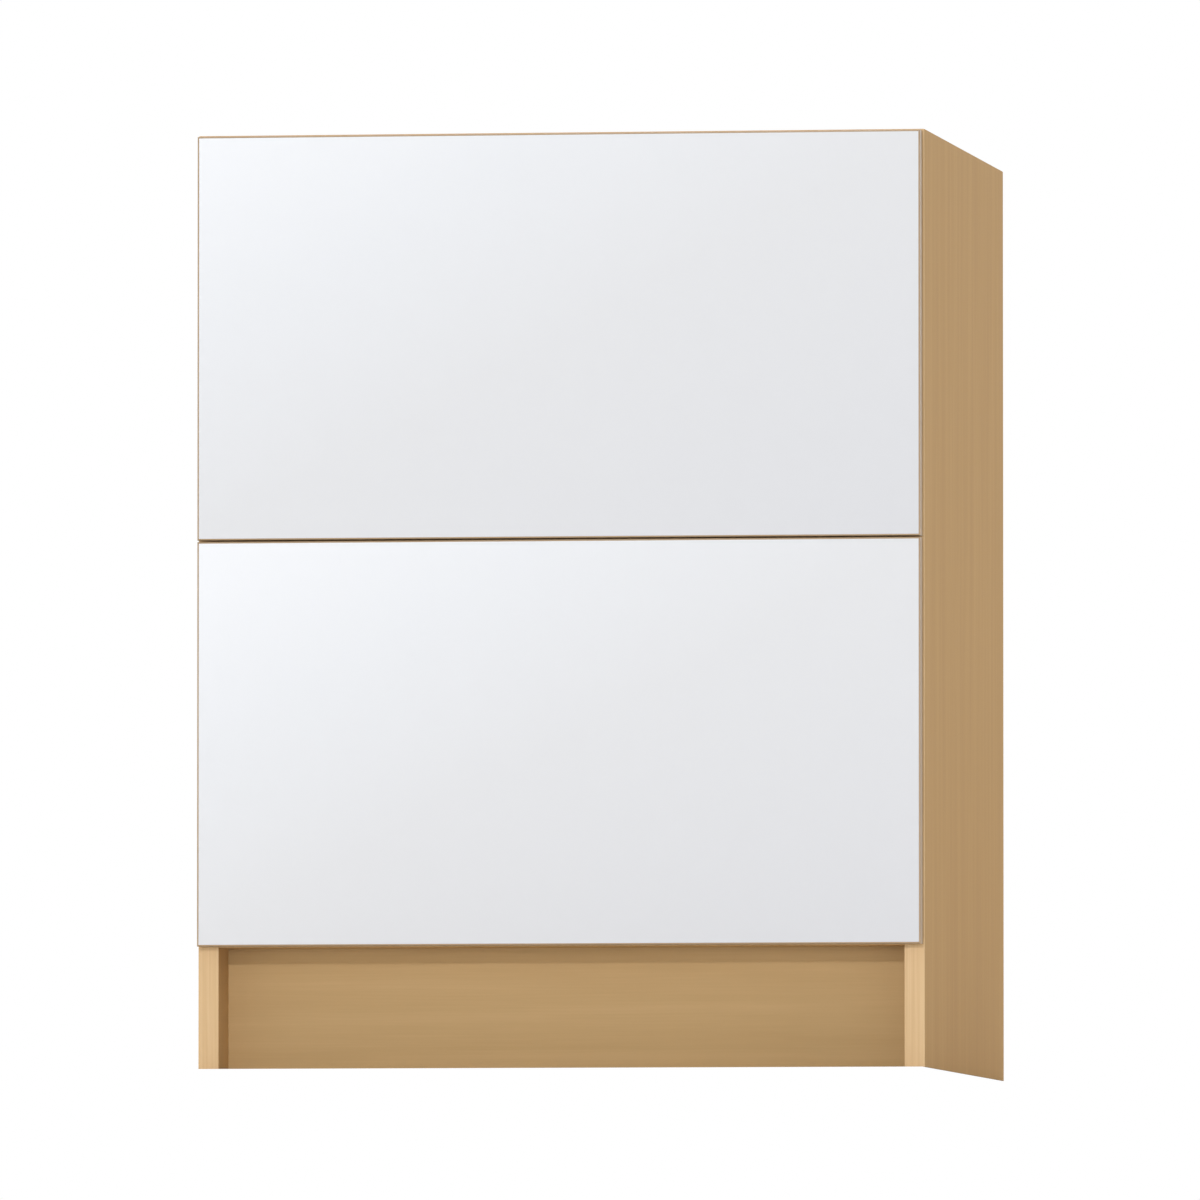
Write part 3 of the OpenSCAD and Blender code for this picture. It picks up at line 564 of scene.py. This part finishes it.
for panel in ("side_panel_left", "side_panel_right"):
    particle_board(panel, Z)
for panel in ("bottom_panel", "top_rail_front", "top_rail_rear", "middle_rail", "back_rail_upper",
              "back_rail_lower"):
    particle_board(panel, X)
# The toe kick board takes the lighter copy of the melamine: painted light against the shade of the toe
# space.
particle_board("toe_kick_board", X, MELAMINE_PAINTED_LIGHTER)
for band in ("side_edge_band_left", "side_edge_band_right", "rail_edge_bands"):
    board(band, "cabinet", None, [BAND], ease=0.25 * MM)
board("back_panel", "cabinet", X, [HARDBOARD])

for which in DRAWERS:
    carrier = which + "_drawer"
    board(which + "_drawer_front", carrier, X, [ACRYLIC, BACKING], lambda normal: normal.y > LOOKS_ALONG,
          ease=0.1 * MM, face_map=True)
    # the fronts' banding in its darker tan: painted shade for the line round each front
    board(which + "_front_edge_bands", carrier, None, [FRONT_BAND_PAINTED_SHADE], ease=0.1 * MM)
    for end in ("_box_front", "_box_back"):
        solid_board(which + end, carrier, X)
    for side in ("_box_side_left", "_box_side_right"):
        solid_board(which + side, carrier, Y)
    board(which + "_box_bottom", carrier, X, [PLYWOOD])


# Fasteners and balls: one Geometry Nodes tree for each kind, stood on points read from the nodes

SMOOTH_BELOW = math.radians(35)        # flatter edges than this are shaded smooth
FACE_DEPTH = 0.2 * MM        # corners this near to a screw's end belong to it
BALL_LIMIT = 10 * MM         # a ball is smaller than this, and a cage's strip is longer
BALL_REACH = 1.02            # a ball's corners lie this many radii from its middle at most
MOST_BALL_SIDES = 8          # a cage's faces have more sides than any face of a ball


def solids_in(node):
    """The corners of each separate solid in a node, as arrays."""
    bm = joined_copy(node)
    found, left = [], set(bm.verts)
    while left:
        reach = [left.pop()]
        solid = []
        while reach:
            vert = reach.pop()
            solid.append(tuple(vert.co))
            for edge in vert.link_edges:
                other = edge.other_vert(vert)
                if other in left:
                    left.discard(other)
                    reach.append(other)
        found.append(np.array(solid))
    bm.free()
    return sorted(found, key=lambda solid: tuple(solid.mean(0).round(4)))


def head_and_way(solid):
    """The middle of a screw's head face, the way it looks, the screw's length and its head's radius."""
    low, high = solid.min(0), solid.max(0)
    axis = int(np.argmax(high - low))
    middle = (low + high) / 2
    across = np.linalg.norm(np.delete(solid - middle, axis, 1), axis=1)
    reach = {}
    for end in (low[axis], high[axis]):
        reach[end] = across[abs(solid[:, axis] - end) < FACE_DEPTH].max()
    head = max(reach, key=reach.get)
    spot = middle.copy()
    spot[axis] = head
    way = np.zeros(3)
    way[axis] = 1 if head == high[axis] else -1
    return spot, way, high[axis] - low[axis], across.max()


def points_mesh(name, spots, ways=None):
    mesh = bpy.data.meshes.new(name)
    mesh.from_pydata([tuple(spot) for spot in spots], [], [])
    if ways is not None:
        attribute = mesh.attributes.new("way", "FLOAT_VECTOR", "POINT")
        attribute.data.foreach_set("vector", np.array(ways, np.float32).ravel())
    return mesh


def start_tree(name, sizes):
    """A tree with geometry in and out, the named sizes and a material; gives it and what it is given."""
    tree = bpy.data.node_groups.new(name, "GeometryNodeTree")
    tree.interface.new_socket("Geometry", in_out="INPUT", socket_type="NodeSocketGeometry")
    for size in sizes:
        tree.interface.new_socket(size, in_out="INPUT", socket_type="NodeSocketFloat")
    tree.interface.new_socket("Material", in_out="INPUT", socket_type="NodeSocketMaterial")
    tree.interface.new_socket("Geometry", in_out="OUTPUT", socket_type="NodeSocketGeometry")
    return tree, add(tree, "NodeGroupInput").outputs


def stand_on_points(tree, given, shape, **more):
    """Ends a tree: the shape, shaded smooth, stands on each point as real mesh in the material."""
    smooth = add(tree, "GeometryNodeSetShadeSmooth", {"Geometry": shape})
    stood = add(tree, "GeometryNodeInstanceOnPoints", {
        "Points": given["Geometry"], "Instance": smooth.outputs[0], **more,
    })
    real = add(tree, "GeometryNodeRealizeInstances", {"Geometry": stood.outputs[0]})
    painted = add(tree, "GeometryNodeSetMaterial", {
        "Geometry": real.outputs[0], "Material": given["Material"],
    })
    add(tree, "NodeGroupOutput", {"Geometry": painted.outputs[0]})


def grown(name, mesh, tree, values):
    """Runs a tree on a mesh with the given inputs and returns the result as a plain piece."""
    piece = make_piece(name, mesh)
    modifier = piece.modifiers.new("grow", "NODES")
    modifier.node_group = tree
    for item in tree.interface.items_tree:
        if item.in_out == "INPUT" and item.name in values:
            modifier[item.identifier] = values[item.name]
    apply_modifiers(piece)
    piece.data.set_sharp_from_angle(angle=SMOOTH_BELOW)
    return piece


def turned_screw(tree, given):
    """A screw along -Z with its head's face at z = 0, turned from its profile."""
    neck = 0.01 * MM             # the step from the underside of the head to the shank
    point_len = 2 * MM
    point_r = 0.15 * MM
    shank_end = add(tree, "ShaderNodeMath", {0: given["Length"], 1: point_len}, operation="SUBTRACT")
    under_head = add(tree, "ShaderNodeMath", {0: given["Head depth"], 1: neck}, operation="ADD")
    profile = (
        (0.0, given["Head face radius"]),
        (given["Rim depth"], given["Head rim radius"]),
        (given["Head depth"], given["Head rim radius"]),
        (under_head.outputs[0], given["Shank radius"]),
        (shank_end.outputs[0], given["Shank radius"]),
        (given["Length"], point_r),
    )
    index = add(tree, "GeometryNodeInputIndex")
    deep = add(tree, "GeometryNodeIndexSwitch", {"Index": index.outputs[0]}, data_type="FLOAT")
    wide = add(tree, "GeometryNodeIndexSwitch", {"Index": index.outputs[0]}, data_type="FLOAT")
    for switch, column in ((deep, 0), (wide, 1)):
        while len(switch.index_switch_items) < len(profile):
            switch.index_switch_items.new()
        for i, row in enumerate(profile, 1):
            feed(tree, switch.inputs[i], row[column])
    down = add(tree, "ShaderNodeMath", {0: deep.outputs[0], 1: -1.0}, operation="MULTIPLY")
    spot = add(tree, "ShaderNodeCombineXYZ", {"Z": down.outputs[0]})
    line = add(tree, "GeometryNodeMeshLine", {"Count": len(profile)})
    axis = add(tree, "GeometryNodeSetPosition", {"Geometry": line.outputs[0], "Position": spot.outputs[0]})
    curve = add(tree, "GeometryNodeMeshToCurve", {"Mesh": axis.outputs[0]})
    ring = add(tree, "GeometryNodeCurvePrimitiveCircle", {"Resolution": 32, "Radius": 1.0})
    return add(tree, "GeometryNodeCurveToMesh", {
        "Curve": curve.outputs[0], "Profile Curve": ring.outputs[0], "Scale": wide.outputs[0],
        "Fill Caps": True,
    })


def driver_cross(tree, given):
    """A plus-shaped cutter along Z through z = 0: a ring of twelve corners, every third one drawn in,
    swept down and narrowed."""
    top_width, bottom_width = 1.35, 0.65         # in recess radii
    inner_corner = math.sqrt(2) * math.sin(math.radians(15))
    index = add(tree, "GeometryNodeInputIndex")
    third = add(tree, "ShaderNodeMath", {0: index.outputs[0], 1: 3.0}, operation="MODULO")
    inner = add(tree, "ShaderNodeMath", {0: third.outputs[0], 1: 1.0, 2: 0.5}, operation="COMPARE")
    drawn_in = add(tree, "ShaderNodeMapRange", {
        "Value": inner.outputs[0], "To Min": 1.0, "To Max": inner_corner,
    })
    twelve = add(tree, "GeometryNodeCurvePrimitiveCircle", {"Resolution": 12, "Radius": 1.0})
    corner = add(tree, "GeometryNodeInputPosition")
    moved = add(tree, "ShaderNodeVectorMath", {
        0: corner.outputs[0], "Scale": drawn_in.outputs[0],
    }, operation="SCALE")
    plus = add(tree, "GeometryNodeSetPosition", {
        "Geometry": twelve.outputs[0], "Position": moved.outputs[0],
    })
    above = add(tree, "ShaderNodeCombineXYZ", {"Z": given["Recess depth"]})
    below = add(tree, "ShaderNodeVectorMath", {0: above.outputs[0], "Scale": -1.0}, operation="SCALE")
    drop = add(tree, "GeometryNodeCurvePrimitiveLine", {"Start": above.outputs[0], "End": below.outputs[0]})
    way_down = add(tree, "GeometryNodeSplineParameter")
    taper = add(tree, "ShaderNodeMapRange", {
        "Value": way_down.outputs["Factor"], "To Min": top_width, "To Max": bottom_width,
    })
    spread = add(tree, "ShaderNodeMath", {
        0: taper.outputs[0], 1: given["Recess radius"],
    }, operation="MULTIPLY")
    return add(tree, "GeometryNodeCurveToMesh", {
        "Curve": drop.outputs[0], "Profile Curve": plus.outputs[0], "Scale": spread.outputs[0],
        "Fill Caps": True,
    })


def screw_tree():
    """A screw at each point, less a cross for the driver, with its head looking the point's way."""
    tree, given = start_tree("screws_at_points", (
        "Head face radius", "Head rim radius", "Rim depth", "Head depth", "Shank radius", "Length",
        "Recess radius", "Recess depth",
    ))
    cut = add(tree, "GeometryNodeMeshBoolean", {
        "Mesh 1": turned_screw(tree, given).outputs[0], "Mesh 2": driver_cross(tree, given).outputs[0],
    }, operation="DIFFERENCE", solver="EXACT")
    way = add(tree, "GeometryNodeInputNamedAttribute", {"Name": "way"}, data_type="FLOAT_VECTOR")
    turn = add(tree, "FunctionNodeAlignRotationToVector", {"Vector": way.outputs[0]}, axis="Z")
    stand_on_points(tree, given, cut.outputs[0], Rotation=turn.outputs[0])
    return tree


def ball_tree():
    """A ball at each point."""
    tree, given = start_tree("balls_at_points", ("Ball radius",))
    ball = add(tree, "GeometryNodeMeshIcoSphere", {"Radius": given["Ball radius"], "Subdivisions": 3})
    stand_on_points(tree, given, ball.outputs[0])
    return tree


SCREWS = screw_tree()
BALLS = ball_tree()


def countersunk(head_r):
    """A head that is widest at its face and lies flush in sheet steel."""
    shank_r = 0.59 * head_r
    return {
        "Head face radius": head_r, "Head rim radius": shank_r + 0.02 * MM, "Rim depth": 1.2 * MM,
        "Head depth": 1.3 * MM, "Shank radius": shank_r, "Recess depth": 0.24 * head_r,
    }


def pan_head(head_r):
    """A head that stands proud, with a rounded rim and a flat underside."""
    return {
        "Head face radius": 0.72 * head_r, "Head rim radius": head_r, "Rim depth": 0.9 * MM,
        "Head depth": 2.2 * MM, "Shank radius": 0.475 * head_r, "Recess depth": 0.3 * head_r,
    }


def screws(node, body, head):
    """The screws of one node, with the head that the function head gives."""
    found = [head_and_way(solid) for solid in solids_in(node)]
    spots, ways, lengths, radii = zip(*found)
    values = {
        "Length": lengths[0], "Recess radius": 0.57 * radii[0], "Material": DULL_ZINC, **head(radii[0]),
    }
    piece = grown(node + "_set", points_mesh(node + "_set", spots, ways), SCREWS, values)
    stands_for(piece, node, body)


def cages(node, body):
    """The strips of a node's ball cages, and their balls."""
    balls = [solid for solid in solids_in(node) if np.ptp(solid, axis=0).max() < BALL_LIMIT]
    ball_r = np.ptp(balls[0], axis=0).max() / 2
    spots = [(solid.min(0) + solid.max(0)) / 2 for solid in balls]
    row = grown(node + "_balls", points_mesh(node + "_balls", spots), BALLS,
                {"Ball radius": float(ball_r), "Material": BALL_STEEL})
    stands_for(row, node, body)

    bm = whole_faced_copy(node)
    of_balls = []
    for vert in bm.verts:
        nearest = min((vert.co - Vector(spot)).length for spot in spots)
        on_strip = any(len(face.verts) > MOST_BALL_SIDES for face in vert.link_faces)
        if nearest < BALL_REACH * ball_r and not on_strip:
            of_balls.append(vert)
    bmesh.ops.delete(bm, geom=of_balls, context="VERTS")
    stands_for(finished_piece(node + "_strips", bm, [DULL_ZINC]), node, body)


screws("cabinet_rail_screws", "cabinet", countersunk)
screws("latch_screws", "cabinet", pan_head)
for which in DRAWERS:
    screws(which + "_drawer_rail_screws", which + "_drawer", countersunk)
    screws(which + "_front_screws", which + "_drawer", pan_head)
    for kind in ("outer", "inner"):
        cages(f"{which}_{kind}_ball_cages", f"{which}_{kind}_cages")


# The nodes that stay get their finish

STAYING = {
    "zinc_steel": ZINC,
    "fitting_steel": DULL_ZINC,
    "latch_plastic": ABS_GREY,
    "plunger_plastic": ACETAL,
}
for name, obj in nodes.items():
    if obj.hide_render:
        continue
    finish = END_GRAIN if name == "dowels" else STAYING[slot_of[name]]
    for slot in obj.material_slots:
        slot.material = finish


# The studio: a pale floor, soft lamps and a white surround, in metres and watts

FLOOR_REACH = 30.0
FLOOR_LEVEL = -0.2 * MM
FADE_FROM, FADE_TO = 1.2, 4.5
SKY_STRENGTH = 0.45
LAMPS_AIM = Vector((0.0, 0.0, 0.44))
LAMPS = {
    "key_lamp": {"from": Vector((0.0, -9.0, 1.85)), "size": 0.3, "power": 156.0},
    "front_fill_lamp": {"from": Vector((0.0, -9.0, 0.62)), "size": 0.8, "power": 90.0},
    "right_fill_lamp": {"from": Vector((7.6, -2.5, 1.8)), "size": 3.0, "power": 76.0},
    "left_fill_lamp": {"from": Vector((-8.0, 0.6, 1.8)), "size": 4.0, "power": 150.0},
    "rear_fill_lamp": {"from": Vector((0.0, 8.0, 2.4)), "size": 4.0, "power": 150.0},
    "top_fill_lamp": {"from": Vector((0.0, 0.0, 7.0)), "size": 5.0, "power": 270.0},
}


def floor_paint(tree, from_below):
    # Matt floor paint, a pale grey-white that gives way to the white surround some metres out. From
    # under it the camera sees from_below instead: the photograph looks from a little under the
    # floor's level, and shows plain white there.
    paint = add(tree, "ShaderNodeBsdfDiffuse", {"Color": tone("#F2F2F1"), "Roughness": 0.5})
    white = add(tree, "ShaderNodeEmission")
    under = add(tree, from_below)
    path = add(tree, "ShaderNodeLightPath")
    side = add(tree, "ShaderNodeNewGeometry")
    place = add(tree, "ShaderNodeTexCoord")
    reach = add(tree, "ShaderNodeVectorMath", {0: place.outputs["Object"]}, operation="LENGTH")
    fade = add(tree, "ShaderNodeMapRange", {
        "Value": reach.outputs["Value"], "From Min": FADE_FROM, "From Max": FADE_TO,
    }, interpolation_type="SMOOTHSTEP")
    far = add(tree, "ShaderNodeMath", {
        0: fade.outputs[0], 1: path.outputs["Is Camera Ray"],
    }, operation="MULTIPLY")
    below = add(tree, "ShaderNodeMath", {
        0: side.outputs["Backfacing"], 1: path.outputs["Is Camera Ray"],
    }, operation="MULTIPLY")
    above = add(tree, "ShaderNodeMixShader", {0: far.outputs[0], 1: paint.outputs[0], 2: white.outputs[0]})
    return add(tree, "ShaderNodeMixShader", {0: below.outputs[0], 1: above.outputs[0], 2: under.outputs[0]})


def lay_floor():
    """The floor in nine fields, of which the middle one is just what the cabinet stands on."""
    low, high = cad_box
    xs = (-FLOOR_REACH, low[X], high[X], FLOOR_REACH)
    ys = (-FLOOR_REACH, low[Y], high[Y], FLOOR_REACH)
    row = len(xs)
    corners = [(x, y, FLOOR_LEVEL) for y in ys for x in xs]
    first_corners = [r * row + c for r in range(len(ys) - 1) for c in range(row - 1)]
    fields = [(at, at + 1, at + row + 1, at + row) for at in first_corners]
    mesh = bpy.data.meshes.new("studio_floor")
    mesh.from_pydata(corners, [], fields)
    mesh.materials.append(material("studio_floor_pale", floor_paint, "ShaderNodeBsdfTransparent"))
    mesh.materials.append(material("studio_floor_under_cabinet", floor_paint, "ShaderNodeEmission"))
    mesh.polygons[len(fields) // 2].material_index = 1
    make_piece("studio_floor", mesh)


def hang_lamp(name, lamp):
    light = bpy.data.lights.new(name, "AREA")
    light.shape = "DISK"
    light.size = lamp["size"]
    light.energy = lamp["power"]
    hung = make_piece(name, light)
    hung.location = lamp["from"]
    hung.rotation_euler = (LAMPS_AIM - lamp["from"]).to_track_quat("-Z", "Y").to_euler()


def white_surround():
    """A world that lights like a pale room and looks white to the camera, in gloss and through glass."""
    world = bpy.data.worlds.new("studio")
    bpy.context.scene.world = world
    world.use_nodes = True
    tree = world.node_tree
    tree.nodes.clear()
    path = add(tree, "ShaderNodeLightPath")
    eye = add(tree, "ShaderNodeMath", {
        0: path.outputs["Is Camera Ray"], 1: path.outputs["Is Glossy Ray"],
    }, operation="MAXIMUM")
    seen = add(tree, "ShaderNodeMath", {
        0: eye.outputs[0], 1: path.outputs["Is Transmission Ray"],
    }, operation="MAXIMUM")
    sky = add(tree, "ShaderNodeBackground", {"Color": tone("#FBFBFB"), "Strength": SKY_STRENGTH})
    white = add(tree, "ShaderNodeBackground", {"Color": tone("#FFFFFF"), "Strength": 1.0})
    pick = add(tree, "ShaderNodeMixShader", {0: seen.outputs[0], 1: sky.outputs[0], 2: white.outputs[0]})
    add(tree, "ShaderNodeOutputWorld", {"Surface": pick.outputs[0]})


lay_floor()
for name, lamp in LAMPS.items():
    hang_lamp(name, lamp)
white_surround()


# The camera: over 18 m off with a very long lens, right of the cabinet and below the floor's level

CAMERA_SPOT = Vector((2.701, -18.502, -0.429))
CAMERA_AIM = Vector((0.0399, -0.305, 0.4366))
CAMERA_LENS = 591.3
CAMERA_SENSOR = 36.0
CAMERA_SEES = (1.0, 200.0)

lens = bpy.data.cameras.new("camera")
lens.lens = CAMERA_LENS
lens.sensor_width = CAMERA_SENSOR
lens.clip_start, lens.clip_end = CAMERA_SEES
camera = make_piece("camera", lens)
camera.location = CAMERA_SPOT
camera.rotation_euler = (CAMERA_AIM - CAMERA_SPOT).to_track_quat("-Z", "Y").to_euler()
bpy.context.scene.camera = camera
bpy.context.scene.view_settings.view_transform = "Standard"
